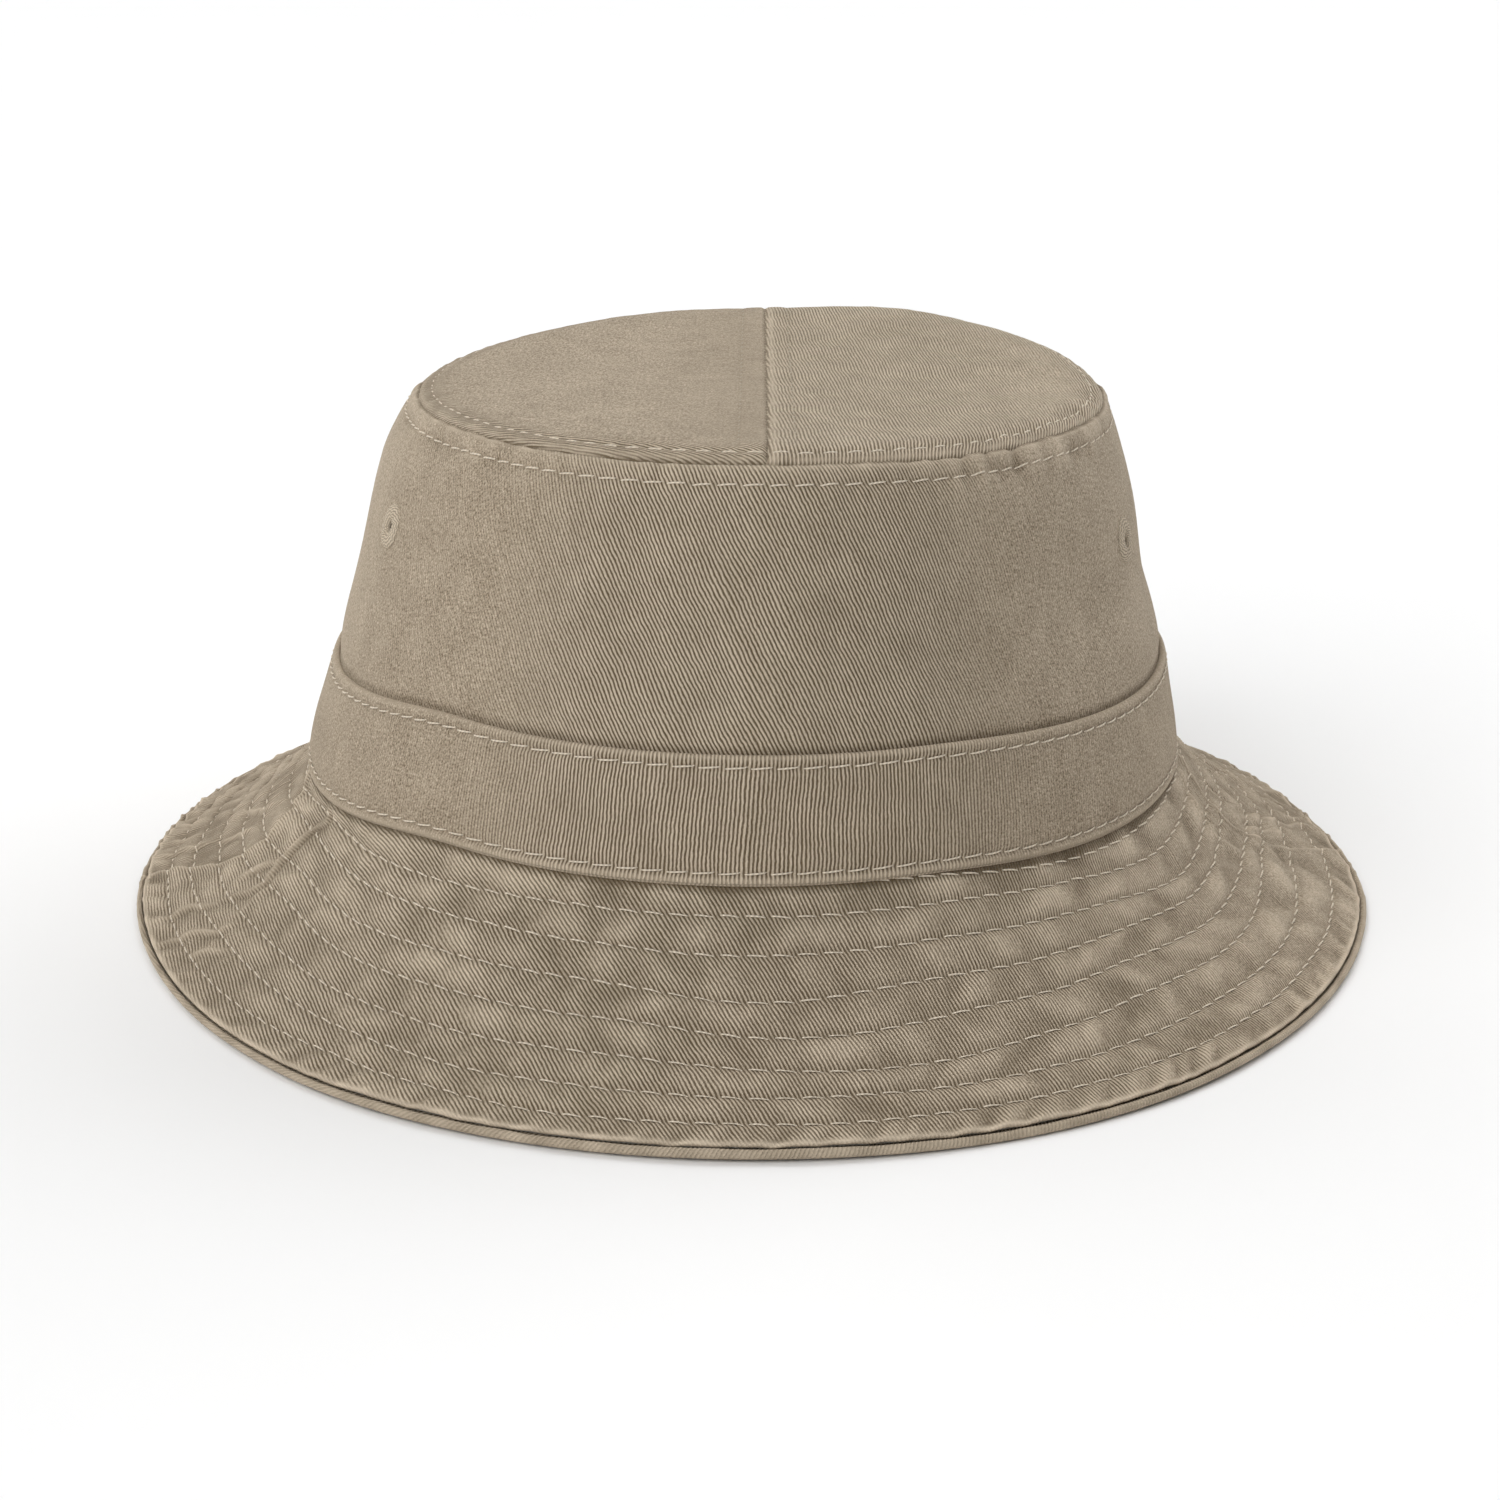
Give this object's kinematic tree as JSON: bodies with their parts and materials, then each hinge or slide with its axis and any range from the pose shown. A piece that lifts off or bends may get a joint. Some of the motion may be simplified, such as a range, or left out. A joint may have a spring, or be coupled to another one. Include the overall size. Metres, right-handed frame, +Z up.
{
  "type": "bucket hat",
  "caption": "Stitched cotton twill bucket hat: leaning crown with a two-part tip and vent eyelets, flat hatband, and a sloping brim quilted with rows of stitching.",
  "frame": {"origin": "centre of the hat's footprint, on the surface that the brim edge stands on", "axes": "+Z up towards the tip; the wearer faces -Y; left and right in names are as seen from the front, so left is -X"},
  "size_m": [0.2548, 0.2908, 0.1033],
  "materials": {
    "twill": "washed cotton twill with fine slanted ribs",
    "thread": "matte spun sewing thread",
    "lining_cloth": "plain-woven cotton strip",
    "tape": "woven cotton binding tape",
    "label_cloth": "smooth white satin ribbon, blank",
    "interlining": "non-woven stiffening sheet"
  },
  "bodies": {
    "hat": {"brim_interlining_back": "interlining", "brim_interlining_front": "interlining", "brim_seam_stitch": "thread", "brim_stitch_1": "thread", "brim_stitch_2": "thread", "brim_stitch_3": "thread", "brim_stitch_4": "thread", "brim_stitch_5": "thread", "brim_stitch_6": "thread", "brim_stitch_7": "thread", "brim_top_back": "twill", "brim_top_front": "twill", "brim_under_back": "twill", "brim_under_front": "twill", "care_label_stitch": "thread", "crown_seam_tape": "tape", "crown_side_back": "twill", "crown_side_front": "twill", "crown_tip_left": "twill", "crown_tip_right": "twill", "crown_topstitch": "thread", "eyelet_left_front": "thread", "eyelet_left_rear": "thread", "eyelet_right_front": "thread", "eyelet_right_rear": "thread", "hatband": "twill", "hatband_stitch_lower": "thread", "hatband_stitch_upper": "thread", "side_seam_tape_left": "tape", "side_seam_tape_right": "tape", "size_label_stitch": "thread", "sweatband": "lining_cloth", "sweatband_stiffener": "interlining", "sweatband_stitch_lower": "thread", "sweatband_stitch_upper": "thread", "tip_edge_stitch": "thread", "tip_seam_stitch_left": "thread", "tip_seam_stitch_right": "thread", "tip_seam_tape": "tape"},
    "care_label_flap": {"care_label": "label_cloth"},
    "size_label_flap": {"size_label": "label_cloth"}
  },
  "joints": [
    {"name": "care_label_swing", "type": "hinge", "parent": "hat", "child": "care_label_flap", "pos_m": [0, 0.09533, 0.05759], "axis": [-1, 0, 0], "range_deg": [0, 150]},
    {"name": "size_label_swing", "type": "hinge", "parent": "hat", "child": "size_label_flap", "pos_m": [-0.03296, 0.0875, 0.05759], "axis": [-0.866, -0.5, 0], "range_deg": [0, 150]}
  ]
}
